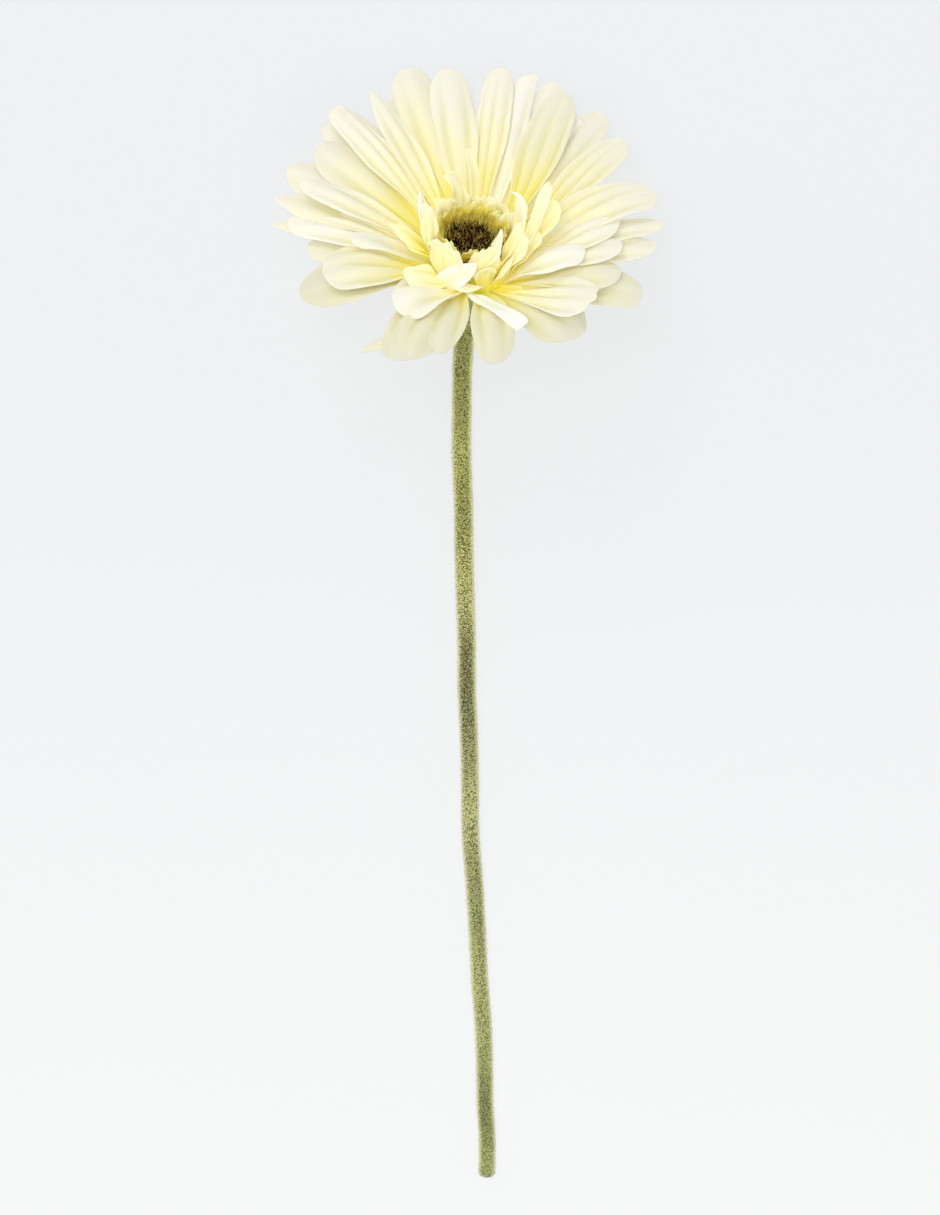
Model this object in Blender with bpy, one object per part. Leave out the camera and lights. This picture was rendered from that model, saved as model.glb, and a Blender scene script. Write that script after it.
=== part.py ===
"""Cut gerbera that lies on a flat surface, in metres, +Z up.

The stem runs along +Y from its cut end to the head. The head leans back on its lowest
petals, and its face looks up and away from the stem. The origin is on the surface,
under the middle of the flower's box.
"""

import math

import bmesh
import bpy
import numpy as np
from mathutils import Matrix, Vector

MM = 0.001

# Driving dimensions of the head
FACE_TILT = math.radians(42)  # how far the head's axis leans from straight up, towards +Y
BLOOM_CENTRE = (2.2 * MM, 109.3 * MM, 29.8 * MM)  # on the head's axis, at the calyx's top
GAP = 0.3 * MM  # between neighbours that touch
SHARP_ANGLE = math.radians(40)

# Rings that carry the petals, measured along the head's axis from the calyx's top
RAY_RING_RADIUS = 14.2 * MM
RAY_RING_TOP = 3.5 * MM
INNER_RING_RADIUS = 12.7 * MM
INNER_RING_BOTTOM = RAY_RING_TOP + GAP
INNER_RING_TOP = 9.6 * MM
RING_SIDES = 28

# Petals
RAY_THICKNESS = 0.85 * MM
INNER_THICKNESS = 0.75 * MM
LOWER_ROOT = (12.4 * MM, 1.3 * MM)  # radius and height where the root starts, in the ring
UPPER_ROOT = (13.2 * MM, 2.5 * MM)
INNER_ROOT = (11.8 * MM, 7.6 * MM)
RAY_ROOT_SHARE = 0.26  # root's width as a share of the petal's
INNER_ROOT_SHARE = 0.5
RAY_ROOT_CUP = 0.4  # how deep the root is channelled, as a share of its half width
INNER_ROOT_CUP = 0.1
TIP_CUP = 0.05
WIDEST = 0.66  # how far along a petal is widest
PETAL_STEPS = np.array([0.0, 0.18, 0.38, 0.58, 0.77, 0.92, 1.0])
RAY_ACROSS = np.array([-1.0, -0.36, 0.36, 1.0])
INNER_ACROSS = np.array([-1.0, 0.0, 1.0])

# Disc
PLATE_BOTTOM = INNER_RING_TOP + GAP
PLATE_TOP = PLATE_BOTTOM + 1.5 * MM
PLATE_RADIUS = 10.4 * MM
CENTRE_BOTTOM = PLATE_TOP + GAP
CENTRE_TOP = 13.4 * MM
CENTRE_RADIUS = 8.0 * MM
CENTRE_FLORETS = 48
CENTRE_FLORET = (2.6 * MM, 0.6 * MM)  # height and radius
RING_FLORETS = 26  # in each of two rows
RING_FLORET = (6.2 * MM, 0.5 * MM)
RING_ROWS = (CENTRE_RADIUS + 1.0 * MM, PLATE_RADIUS - 0.7 * MM)  # radius of each row
RING_ROW_RISE = 0.8 * MM  # how much taller the outer row is
RING_ROW_LEAN = 0.06  # how much further out the outer row leans, per height
FLORET_SIDES = 3
FLORET_DEPTH = 0.7 * MM  # how deep a floret's foot is sunk

# Calyx, below its top
CALYX_RADIUS = 13.6 * MM
CALYX_HEIGHT = 17.0 * MM
CALYX_SIDES = 28
# radius and height below the top, as shares of the calyx's
CALYX_OUTLINE = [(0.33, 1.0), (0.42, 0.95), (0.66, 0.77), (0.86, 0.52), (0.98, 0.22), (1.0, 0.0)]
BRACT_THICKNESS = 0.8 * MM
BRACT_WIDTHS = (2.4 * MM, 3.4 * MM, 0.6 * MM)  # at the foot, the middle and the tip
# count, foot and tip as shares of the calyx's height below its top, and turn in steps
BRACT_ROWS = [(13, 0.90, 0.36, 0.0), (16, 0.66, 0.07, 0.5)]

# Stem
STEM_SIDES = 14
STEM_RADII = [(0.0, 3.2 * MM), (0.14, 3.1 * MM), (0.4, 2.9 * MM), (1.0, 2.6 * MM)]  # share, radius
STEM_END_ROUNDING = [(0.45, 0.9), (0.8, 0.62), (1.0, 0.25)]  # forward and radius, in radii
NECK_STEPS = 7
LYING_STEPS = 20

# Ray petals, in millimetres and degrees. Across and along are where the tip shows from
# straight above, from the bloom's centre. Lift is the tip's height along the head's axis.
# Rise is how much steeper than its chord a petal leaves the ring, droop how much its end
# falls below the chord, roll how far it turns about its own length, and swing how far
# round the ring its root stands from its tip. Each list goes clockwise from the top.
# across, along, lift, width, rise, droop, roll, swing
LOWER_RAYS = [
    (8.5, 61.0, 19.5, 10, 12, 8, 0, 0),
    (13.5, 61.0, 19.5, 9, 12, 8, 10, 0),
    (26.0, 60.0, 18.8, 12, 12, 8, 0, 0),
    (31.0, 50.5, 15, 11, 12, 8, 0, 0),
    (40.5, 50.0, 15, 14, 14, 10, 0, 0),
    (39.0, 34.0, 12, 13, 14, 10, 0, 0),
    (57.5, 14.5, 11, 10, 22, 20, 0, -12),
    (56.0, 7.5, 8, 12, 22, 22, 0, -14),
    (51.5, -7.0, 6, 18, 12, 18, 0, -16),
    (31.0, -22.5, 6, 19, 22, 34, 0, -10),
    (6.5, -30.5, 6, 16, 30, 44, 0, 0),
    (-10.0, -27.5, 6, 13, 30, 44, 0, 0),
    (-22.0, -29.0, 5, 18, 26, 36, 0, 0),
    (-33.0, -27.0, 3, 8, 22, 24, 0, 10),
    (-52.5, -8.0, 5, 19, 18, 22, 0, 8),
    (-51.0, 6.0, 7, 14, 16, 14, 0, 4),
    (-62.0, 14.0, 8, 10, 14, 10, 0, 0),
    (-57.0, 32.5, 14, 18, 12, 8, 0, 0),
    (-46.0, 45.5, 16, 11, 12, 8, 0, 0),
    (-40.0, 50.0, 17, 12, 12, 8, 0, 0),
    (-23.5, 57.0, 16.6, 13, 12, 8, 0, 0),
    (-15.5, 61.0, 19.5, 12, 12, 8, 0, 0),
    (-8.5, 61.0, 19.5, 12, 12, 8, 0, 0),
]
UPPER_RAYS = [
    (-20.5, 64.5, 23, 16, 10, 6, 0, 0),
    (-8.0, 64.5, 24, 15, 10, 6, 0, 0),
    (9.0, 63.5, 24, 12, 10, 6, 0, 0),
    (28.0, 54.5, 23, 17, 12, 6, 0, 0),
    (46.0, 40.0, 21, 15, 14, 10, 0, 0),
    (56.5, 24.0, 18, 15, 28, 26, 0, -14),
    (44.5, 13.5, 16, 12, 24, 22, 0, -24),
    (45.0, 7.5, 13, 10, 20, 18, 0, -30),
    (32.0, 3.0, 13, 12, 24, 30, 0, -30),
    (44.0, -1.5, 11, 15, 14, 16, 0, -26),
    (36.5, -12.0, 12, 18, 8, 16, 0, -20),
    (15.5, -18.0, 11, 9, 24, 20, 20, -28),
    (-24.5, -11.0, 11, 18, 20, 44, 0, 22),
    (-46.0, -0.5, 11, 18, 18, 20, 0, 6),
    (-37.5, 8.0, 15, 12, 18, 18, 0, 4),
    (-56.5, 12.5, 13, 13, 16, 14, 0, 2),
    (-61.0, 21.5, 15, 12, 12, 10, 0, 0),
    (-53.0, 26.5, 21, 10, 12, 8, 24, 0),
    (-47.5, 38.5, 20, 20, 12, 8, 0, 0),
    (-42.5, 50.5, 24, 12, 12, 6, 0, 0),
    (-31.5, 55.5, 24, 10, 12, 6, 12, 0),
]

# Inner petals, with the same values, clockwise from behind the disc
INNER_PETALS = [
    (-1.0, 35.5, 34, 5, 4, 6, 0, 0),
    (-2.5, 21.0, 17, 7, 6, 2, 0, 0),
    (2.5, 22.0, 21, 7.5, 2, 0, 0, 0),
    (8.0, 21.5, 21, 6, 2, 0, 0, 0),
    (11.5, 16.5, 20, 7, 2, 0, 0, 0),
    (16.5, 22.5, 24, 11, 8, 6, 0, -20),
    (15.5, 19.0, 27, 6, -6, -4, -40, -28),
    (26.0, 19.0, 26, 9, 4, 2, 25, -22),
    (23.0, 23.5, 34, 6.5, -14, -18, -40, -46),
    (14.0, 11.5, 25, 7, -4, 0, -35, -28),
    (14.0, 6.0, 22, 9, -4, -4, -25, -22),
    (8.5, 10.0, 27, 7, -4, -8, -20, -18),
    (4.0, 4.5, 22, 8, 0, -2, 0, 0),
    (4.5, -0.5, 17, 5.5, 0, 10, 0, 0),
    (-1.0, -7.0, 10.5, 11, 30, 40, 0, 0),
    (-8.0, -7.0, 14, 9, 40, 60, 0, 20),
    (-5.0, 5.0, 22, 8, 0, -2, 0, 0),
    (-20.0, -2.0, 14, 10, 26, 20, 0, 12),
    (-12.0, 15.5, 24, 10, -12, -8, -15, 34),
    (-25.5, 13.0, 18, 6, 12, 8, 0, 14),
    (-23.5, 11.0, 15, 6, 10, 8, 0, 20),
    (-16.0, 21.0, 26, 6, -4, 0, -30, 14),
    (-6.5, 29.5, 30, 8, 6, 6, 0, 0),
    (-8.0, 21.0, 20, 8, 2, 0, 0, 0),
]

# Stem's route on the surface, in millimetres, from under the neck to the cut end
STEM_ROUTE = [
    (-1.2, 65.8),
    (-1.3, 53.8),
    (-0.7, 37.8),
    (-0.5, 21.8),
    (-0.1, 6.8),
    (0.3, -6.2),
    (0.4, -21.2),
    (1.1, -37.2),
    (1.4, -52.2),
    (1.5, -65.2),
    (2.7, -81.2),
    (3.6, -96.2),
    (4.4, -112.2),
    (5.6, -128.2),
    (6.0, -142.2),
    (6.1, -151.2),
    (6.8, -163.2),
    (6.7, -172.0),
]


def clear_scene():
    for obj in list(bpy.data.objects):
        bpy.data.objects.remove(obj, do_unlink=True)


def material(name, colour, roughness):
    made = bpy.data.materials.new(name)
    made.use_nodes = True
    shader = made.node_tree.nodes["Principled BSDF"]
    shader.inputs["Base Color"].default_value = (*colour, 1.0)
    shader.inputs["Roughness"].default_value = roughness
    shader.inputs["Metallic"].default_value = 0.0
    return made


def new_object(name, mesh, parent=None):
    obj = bpy.data.objects.new(name, mesh)
    bpy.context.scene.collection.objects.link(obj)
    obj.parent = parent
    return obj


def turned(name, profile, sides, parent):
    """A solid turned about the head's axis from a profile of radius and height."""
    shape = bmesh.new()
    verts = [shape.verts.new((radius, 0.0, height)) for radius, height in profile]
    edges = [shape.edges.new(pair) for pair in zip(verts, verts[1:])]
    bmesh.ops.spin(
        shape,
        geom=verts + edges,
        axis=(0, 0, 1),
        cent=(0, 0, 0),
        angle=2 * math.pi,
        steps=sides,
        use_merge=True,
    )
    bmesh.ops.remove_doubles(shape, verts=shape.verts, dist=0.001 * MM)
    bmesh.ops.recalc_face_normals(shape, faces=shape.faces)
    mesh = bpy.data.meshes.new(name)
    shape.to_mesh(mesh)
    shape.free()
    return new_object(name, mesh, parent)


def fill_pockets(mesh):
    """Fill the sealed pockets that crossing petals leave, by taking out their walls."""
    shape = bmesh.new()
    shape.from_mesh(mesh)
    bmesh.ops.triangulate(shape, faces=shape.faces)
    left = set(shape.faces)
    walls = []
    while left:
        island = [left.pop()]
        for face in island:
            for edge in face.edges:
                for other in edge.link_faces:
                    if other in left:
                        left.remove(other)
                        island.append(other)
        volume = 0.0
        for face in island:
            a, b, c = (v.co for v in face.verts)
            volume += a.dot(b.cross(c)) / 6
        if volume < 0:
            walls += island
    bmesh.ops.delete(shape, geom=walls, context="FACES")
    shape.to_mesh(mesh)
    shape.free()


def fused(base, repeats, finish):
    """One solid of the base and the repeats that grow from it."""
    group = bpy.data.collections.new(base.name + "_repeats")
    for obj in repeats:
        bpy.context.scene.collection.objects.unlink(obj)
        group.objects.link(obj)
    bpy.context.scene.collection.children.link(group)
    union = base.modifiers.new("union", "BOOLEAN")
    union.operation = "UNION"
    union.operand_type = "COLLECTION"
    union.collection = group
    union.solver = "MANIFOLD"
    bpy.context.view_layer.update()
    graph = bpy.context.evaluated_depsgraph_get()
    whole = bpy.data.meshes.new_from_object(base.evaluated_get(graph))
    base.modifiers.remove(union)
    fill_pockets(whole)
    base.data = whole
    whole.materials.clear()
    whole.materials.append(finish)
    whole.shade_smooth()
    whole.set_sharp_from_angle(angle=SHARP_ANGLE)
    for obj in repeats:
        bpy.data.objects.remove(obj, do_unlink=True)
    bpy.data.collections.remove(group)
    return base


# Petals


def unit(vectors):
    return vectors / np.linalg.norm(vectors, axis=-1, keepdims=True)


def ease(t):
    t = np.clip(t, 0.0, 1.0)
    return t * t * (3 - 2 * t)


def tip_of(across, along, lift):
    """The tip in the bloom's own frame, from where it shows from straight above."""
    up_face = (along - lift * math.sin(FACE_TILT)) / math.cos(FACE_TILT)
    return np.array([across, up_face, lift]) * MM


def spine(tip, root, rise, droop, swing, t):
    """Points, sideways directions and face normals of a petal's middle line, root to tip."""
    root_radius, root_height = root
    axis = np.array([0.0, 0.0, 1.0])
    angle = math.atan2(tip[1], tip[0]) + math.radians(swing)
    outward = np.array([math.cos(angle), math.sin(angle), 0.0])
    start = outward * root_radius + axis * root_height
    chord = tip - start
    length = np.linalg.norm(chord)
    level = unit(chord * [1, 1, 0]) if np.hypot(chord[0], chord[1]) > 3 * MM else outward
    slope = math.asin(chord[2] / length)
    leaving = slope + math.radians(rise)
    arriving = slope - math.radians(droop)
    reach = 0.36 * length
    first = start + reach * (outward * math.cos(leaving) + axis * math.sin(leaving))
    second = tip - reach * (level * math.cos(arriving) + axis * math.sin(arriving))
    t = t[:, None]
    u = 1 - t
    points = u**3 * start + 3 * u * u * t * first + 3 * u * t * t * second + t**3 * tip
    ways = unit(u * u * (first - start) + 2 * u * t * (second - first) + t * t * (tip - second))
    side = np.cross(axis, unit(outward * u + unit(tip * [1, 1, 0]) * t))
    side = unit(side - (ways * side).sum(axis=1)[:, None] * ways)
    return points, side, np.cross(ways, side)


def half_width(t, width, root_share):
    """Half the width along a petal: narrow root, widest past the middle, blunt round tip."""
    opening = root_share + (1 - root_share) * ease(t / WIDEST)
    past = np.clip((t - WIDEST) / (1 - WIDEST), 0.0, 1.0)
    closing = np.sqrt(1 - 0.9 * past**2.8)
    return 0.5 * width * opening * closing


def petal_grid(row, root, root_share, root_cup, columns):
    """Points of one petal's middle surface: a strap, channelled at its root, round-tipped."""
    across, along, lift, width, rise, droop, roll, swing = row
    t = PETAL_STEPS
    points, side, face = spine(tip_of(across, along, lift), root, rise, droop, swing, t)
    turn = math.radians(roll) * ease(t * 1.6)[:, None]
    side, face = (
        side * np.cos(turn) + face * np.sin(turn),
        face * np.cos(turn) - side * np.sin(turn),
    )
    half = half_width(t, width * MM, root_share)
    cup = root_cup + (TIP_CUP - root_cup) * ease(t * 1.2)
    sideways = half[:, None] * columns
    raised = (cup * half)[:, None] * (columns**2 - 0.4)
    return points[:, None] + side[:, None] * sideways[..., None] + face[:, None] * raised[..., None]


def blade(name, grid, thickness, parent):
    """A thin solid on a grid of points, split into the same triangles on both faces."""
    rows, columns = grid.shape[:2]
    faces = []
    for i in range(rows - 1):
        for j in range(columns - 1):
            a, b = i * columns + j, (i + 1) * columns + j
            faces += [(a, b, b + 1), (a, b + 1, a + 1)]
    mesh = bpy.data.meshes.new(name)
    mesh.from_pydata(grid.reshape(-1, 3).tolist(), [], faces)
    obj = new_object(name, mesh, parent)
    solid = obj.modifiers.new("thickness", "SOLIDIFY")
    solid.thickness = thickness
    solid.offset = 0.0
    return obj


def ring(name, radius, bottom, top, parent):
    """The grown-together bases that a row of petals rises from."""
    edge = 0.5 * MM
    profile = [
        (0, bottom),
        (radius - edge, bottom),
        (radius, bottom + edge),
        (radius, top - edge),
        (radius - edge, top),
        (0, top),
    ]
    return turned(name, profile, RING_SIDES, parent)


def ray_petals(bloom, finish):
    base = ring("ray_petals", RAY_RING_RADIUS, GAP, RAY_RING_TOP, bloom)
    made = []
    for rows, root in ((LOWER_RAYS, LOWER_ROOT), (UPPER_RAYS, UPPER_ROOT)):
        for row in rows:
            grid = petal_grid(row, root, RAY_ROOT_SHARE, RAY_ROOT_CUP, RAY_ACROSS)
            made.append(blade(f"ray_{len(made)}", grid, RAY_THICKNESS, bloom))
    return fused(base, made, finish)


def inner_petals(bloom, finish):
    base = ring("inner_petals", INNER_RING_RADIUS, INNER_RING_BOTTOM, INNER_RING_TOP, bloom)
    made = []
    for row in INNER_PETALS:
        grid = petal_grid(row, INNER_ROOT, INNER_ROOT_SHARE, INNER_ROOT_CUP, INNER_ACROSS)
        made.append(blade(f"inner_{len(made)}", grid, INNER_THICKNESS, bloom))
    return fused(base, made, finish)


# Disc


def floret(name, angle, radius, foot, lean, size, parent):
    """One blunt spike that stands on the disc and leans outward."""
    height, thick = size
    outward = Vector((math.cos(angle), math.sin(angle), 0))
    up = Vector((0, 0, 1))
    way = (outward * lean + up).normalized()
    middle = outward * radius + up * foot + way * height / 2
    turn = up.rotation_difference(way).to_matrix().to_4x4()
    shape = bmesh.new()
    bmesh.ops.create_cone(
        shape,
        cap_ends=True,
        segments=FLORET_SIDES,
        radius1=thick,
        radius2=thick * 0.35,
        depth=height,
        matrix=Matrix.Translation(middle) @ turn,
    )
    mesh = bpy.data.meshes.new(name)
    shape.to_mesh(mesh)
    shape.free()
    return new_object(name, mesh, parent)


def disc_centre(bloom, finish):
    """The dark middle: florets on a golden-angle spiral over a low dome."""
    edge = 1.0 * MM
    profile = [
        (0, CENTRE_BOTTOM),
        (CENTRE_RADIUS, CENTRE_BOTTOM),
        (CENTRE_RADIUS, CENTRE_TOP - edge),
        (CENTRE_RADIUS - edge, CENTRE_TOP),
        (0, CENTRE_TOP + 0.6 * MM),
    ]
    base = turned("disc_centre", profile, RING_SIDES, bloom)
    golden_angle = math.pi * (3 - math.sqrt(5))
    outermost = CENTRE_RADIUS - 1.2 * MM
    foot = CENTRE_TOP - FLORET_DEPTH
    made = []
    for i in range(CENTRE_FLORETS):
        share = math.sqrt((i + 0.5) / CENTRE_FLORETS)
        radius = outermost * share
        lean = 0.2 * share
        name = f"floret_{i}"
        made.append(floret(name, golden_angle * i, radius, foot, lean, CENTRE_FLORET, bloom))
    return fused(base, made, finish)


def disc_ring(bloom, finish):
    """The ochre ring: two rows of taller florets round the middle, on a plate that carries it."""
    profile = [
        (0, PLATE_BOTTOM),
        (PLATE_RADIUS, PLATE_BOTTOM),
        (PLATE_RADIUS, PLATE_TOP),
        (0, PLATE_TOP),
    ]
    base = turned("disc_ring", profile, RING_SIDES, bloom)
    foot = PLATE_TOP - FLORET_DEPTH
    made = []
    for row, radius in enumerate(RING_ROWS):
        lean = row * RING_ROW_LEAN
        size = (RING_FLORET[0] + row * RING_ROW_RISE, RING_FLORET[1])
        for i in range(RING_FLORETS):
            angle = 2 * math.pi * (i + 0.5 * row) / RING_FLORETS
            name = f"golden_{row}_{i}"
            made.append(floret(name, angle, radius, foot, lean, size, bloom))
    return fused(base, made, finish)


# Calyx


def calyx(bloom, finish):
    """The green base of the head, flat below for the stem, with two rows of bracts."""
    profile = [(CALYX_RADIUS * r, -CALYX_HEIGHT * h) for r, h in CALYX_OUTLINE]
    profile = [(0, -CALYX_HEIGHT), *profile, (0, 0)]
    base = turned("calyx", profile, CALYX_SIDES, bloom)
    made = []
    for count, foot, tip, turn in BRACT_ROWS:
        for i in range(count):
            grid = bract_grid(foot, tip, 2 * math.pi * (i + turn) / count)
            made.append(blade(f"bract_{len(made)}", grid, BRACT_THICKNESS, bloom))
    return fused(base, made, finish)


def bract_grid(foot, tip, angle):
    """Points of one lance-shaped bract that lies on the cup and stands off at its tip."""
    along = np.array([0.0, 0.5, 1.0])
    below = foot + (tip - foot) * along
    radii, heights = zip(*reversed(CALYX_OUTLINE))
    stand_off = (0.9 * along**2 - 0.2) * MM
    radius = CALYX_RADIUS * np.interp(below, heights, radii) + stand_off
    outward = np.array([math.cos(angle), math.sin(angle), 0.0])
    side = np.array([-outward[1], outward[0], 0.0])
    down = np.array([0.0, 0.0, -1.0])
    middle = radius[:, None] * outward + (CALYX_HEIGHT * below)[:, None] * down
    sideways = 0.5 * np.array(BRACT_WIDTHS)[:, None] * np.array([-1.0, 0.0, 1.0])
    return middle[:, None] + sideways[..., None] * side


# Stem


def route_across(y):
    """How far across the stem lies at y: a smooth curve through its route's points."""
    known_x, known_y = (np.array(STEM_ROUTE[::-1]) * MM).T
    slope = np.gradient(known_x, known_y)
    i = np.clip(np.searchsorted(known_y, y) - 1, 0, len(known_y) - 2)
    step = known_y[i + 1] - known_y[i]
    t = np.clip((y - known_y[i]) / step, 0.0, 1.0)
    h = ease(t)
    bend = t * (1 - t) ** 2 * slope[i] - t * t * (1 - t) * slope[i + 1]
    return known_x[i] * (1 - h) + known_x[i + 1] * h + bend * step


def stem_line():
    """Points along the stem's middle: from the calyx down the neck, then along the surface."""
    flat = math.cos(math.pi / STEM_SIDES)
    axis = np.array([0.0, math.sin(FACE_TILT), math.cos(FACE_TILT)])
    seat = np.array(BLOOM_CENTRE) - axis * (CALYX_HEIGHT + GAP)
    lying = STEM_RADII[1][1] * flat
    bend_angle = math.pi / 2 - FACE_TILT
    bend_radius = (seat[2] - lying) / (1 - math.cos(bend_angle))
    bend_start = seat[1] - bend_radius * math.sin(bend_angle)
    share = np.linspace(1, 0, NECK_STEPS + 1)
    neck_y = bend_start + bend_radius * np.sin(bend_angle * share)
    neck_z = lying + bend_radius * (1 - np.cos(bend_angle * share))
    neck_x = route_across(neck_y)
    neck_x = neck_x + (seat[0] - neck_x) * share**3
    lying_y = np.linspace(bend_start, STEM_ROUTE[-1][1] * MM, LYING_STEPS + 1)[1:]
    neck = np.column_stack([neck_x, neck_y, neck_z])
    along = np.column_stack([route_across(lying_y), lying_y, np.full(LYING_STEPS, lying)])
    points = np.vstack([neck, along])
    steps = np.linalg.norm(np.diff(points, axis=0), axis=1)
    distance = np.concatenate([[0], np.cumsum(steps)]) / steps.sum()
    radii = np.interp(distance, *zip(*STEM_RADII))
    on_surface = slice(-LYING_STEPS - 1, None)
    points[on_surface, 2] = radii[on_surface] * flat
    return points, radii


def stem(finish):
    """The stem: a swept round with a flat side down, and a rounded cut end."""
    points, radii = stem_line()
    ways = unit(np.gradient(points, axis=0))
    ways[0] = [0.0, -math.sin(FACE_TILT), -math.cos(FACE_TILT)]
    end, end_way, end_radius = points[-1], ways[-1], radii[-1]
    for forward, narrow in STEM_END_ROUNDING:
        points = np.vstack([points, end + end_way * forward * end_radius])
        ways = np.vstack([ways, end_way])
        radii = np.append(radii, end_radius * narrow)
    side = unit(np.cross(ways, [0.0, 0.0, 1.0]))
    up = np.cross(side, ways)
    angle = 2 * math.pi * (np.arange(STEM_SIDES) + 0.5) / STEM_SIDES - math.pi / 2
    around = side[:, None] * np.cos(angle)[:, None] + up[:, None] * np.sin(angle)[:, None]
    verts = points[:, None] + radii[:, None, None] * around
    shape = bmesh.new()
    rings = [[shape.verts.new(v) for v in ring_points] for ring_points in verts.tolist()]
    shape.faces.new(rings[0])
    shape.faces.new(rings[-1])
    for one, other in zip(rings, rings[1:]):
        for k in range(STEM_SIDES):
            n = (k + 1) % STEM_SIDES
            shape.faces.new((one[k], other[k], other[n], one[n]))
    bmesh.ops.recalc_face_normals(shape, faces=shape.faces)
    mesh = bpy.data.meshes.new("stem")
    shape.to_mesh(mesh)
    shape.free()
    mesh.shade_smooth()
    mesh.materials.append(finish)
    return new_object("stem", mesh)


# Whole flower


def build():
    clear_scene()
    bloom = bpy.data.objects.new("bloom", None)
    bpy.context.scene.collection.objects.link(bloom)
    bloom.location = BLOOM_CENTRE
    bloom.rotation_euler = (-FACE_TILT, 0, 0)
    cream = material("cream", (0.95, 0.92, 0.72), 0.6)
    butter = material("butter", (0.93, 0.88, 0.52), 0.6)
    ochre = material("ochre", (0.48, 0.36, 0.03), 0.7)
    dark = material("dark", (0.03, 0.015, 0.005), 0.7)
    green = material("green", (0.30, 0.34, 0.10), 0.8)
    olive = material("olive", (0.33, 0.36, 0.12), 0.85)
    ray_petals(bloom, cream)
    inner_petals(bloom, butter)
    disc_ring(bloom, ochre)
    disc_centre(bloom, dark)
    calyx(bloom, green)
    stem(olive)


build()
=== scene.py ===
"""Looks of the cut gerbera: cream petals, a bristly dark disc, a bracted calyx and a furred stem.

Lengths are in metres unless a comment or a docstring says millimetres. The head's own frame has
its origin at the calyx's top and +Z along the head's axis, as in the solids.
"""

import math
from dataclasses import dataclass

import bpy
import numpy as np
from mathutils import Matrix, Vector


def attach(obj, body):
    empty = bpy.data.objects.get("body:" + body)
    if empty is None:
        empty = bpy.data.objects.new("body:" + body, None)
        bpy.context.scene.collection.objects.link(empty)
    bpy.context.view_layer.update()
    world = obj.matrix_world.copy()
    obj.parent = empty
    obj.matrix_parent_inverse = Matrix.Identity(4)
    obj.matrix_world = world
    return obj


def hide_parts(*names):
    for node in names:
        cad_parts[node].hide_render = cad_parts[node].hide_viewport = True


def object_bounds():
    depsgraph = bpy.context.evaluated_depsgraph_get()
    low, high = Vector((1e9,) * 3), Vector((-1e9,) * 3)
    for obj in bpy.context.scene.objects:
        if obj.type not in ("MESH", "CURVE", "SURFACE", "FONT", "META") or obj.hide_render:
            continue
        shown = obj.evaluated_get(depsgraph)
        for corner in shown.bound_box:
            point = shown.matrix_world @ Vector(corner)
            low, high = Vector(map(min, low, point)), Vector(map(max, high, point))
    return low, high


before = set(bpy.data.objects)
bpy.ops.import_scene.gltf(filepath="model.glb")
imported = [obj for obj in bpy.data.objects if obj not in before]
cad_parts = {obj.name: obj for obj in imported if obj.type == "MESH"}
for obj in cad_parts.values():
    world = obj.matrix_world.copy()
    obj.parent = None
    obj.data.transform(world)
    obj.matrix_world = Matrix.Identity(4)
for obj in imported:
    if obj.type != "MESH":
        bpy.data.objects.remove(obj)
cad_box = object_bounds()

MM = 0.001
SEED = 11

# Head, as in the solids
FACE_TILT = math.radians(42)
BLOOM_CENTRE = np.array([2.2, 109.3, 29.8]) * MM
LOWER_ROOT = (12.4 * MM, 1.3 * MM)
UPPER_ROOT = (13.2 * MM, 2.5 * MM)
INNER_ROOT = (11.8 * MM, 7.6 * MM)
CALYX_RADIUS = 13.6 * MM
CALYX_HEIGHT = 17.0 * MM
PLATE_TOP = 11.4 * MM
DARK_MIDDLE = (-1.2 * MM, -1.4 * MM)
DARK_RADIUS = 7.0 * MM
WIDEST = 0.66  # where a petal is widest, as a share of its length
GOLDEN_ANGLE = math.pi * (3 - math.sqrt(5))

UP = np.array([0.0, 0.0, 1.0])

# Meshes
ROUND_SIDES = 64
CURVE_STEPS = 6
FLORET_THICKNESS = 0.3 * MM
BRACT_THICKNESS = 0.6 * MM
BRISTLE_SIDES = 4
BRISTLE_RADII = (0.07, 0.15)  # in millimetres
BRISTLE_PALENESS = 0.62  # 1 where the tips are cream
HAIR_RADIUS = 0.045 * MM


# Small maths on rows of vectors


def unit(vectors):
    """The vectors, each made one long."""
    return vectors / np.linalg.norm(vectors, axis=-1, keepdims=True)


def ease(t):
    """0 below 0, 1 above 1, and smooth in between."""
    t = np.clip(t, 0.0, 1.0)
    return t * t * (3 - 2 * t)


def out_of_bloom(points):
    """Points of the head's own frame, in the world."""
    x, y, z = np.moveaxis(np.asarray(points, float), -1, 0)
    sin, cos = math.sin(FACE_TILT), math.cos(FACE_TILT)
    return np.stack([x, y * cos + z * sin, z * cos - y * sin], axis=-1) + BLOOM_CENTRE


# Shader maths


class Socket:
    """A shader socket that Python's operators work on: each adds a Math node."""

    def __init__(self, finish, socket):
        self.finish = finish
        self.socket = socket

    def math(self, operation, *values, clamp=False):
        settings = {"operation": operation, "use_clamp": clamp}
        return self.finish.node("ShaderNodeMath", settings, dict(enumerate(values)))

    def __add__(self, other):
        return self.math("ADD", self, other)

    def __sub__(self, other):
        return self.math("SUBTRACT", self, other)

    def __rsub__(self, other):
        return self.math("SUBTRACT", other, self)

    def __mul__(self, other):
        return self.math("MULTIPLY", self, other)

    def __abs__(self):
        return self.math("ABSOLUTE", self)

    def clipped(self):
        return self.math("ADD", self, 0.0, clamp=True)

    def at_least(self, low):
        return self.math("MAXIMUM", self, low)

    def between(self, low, high):
        """0 below low, 1 above high, and smooth in between."""
        settings = {"interpolation_type": "SMOOTHSTEP"}
        return self.finish.node("ShaderNodeMapRange", settings, {0: self, 1: low, 2: high})


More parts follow.
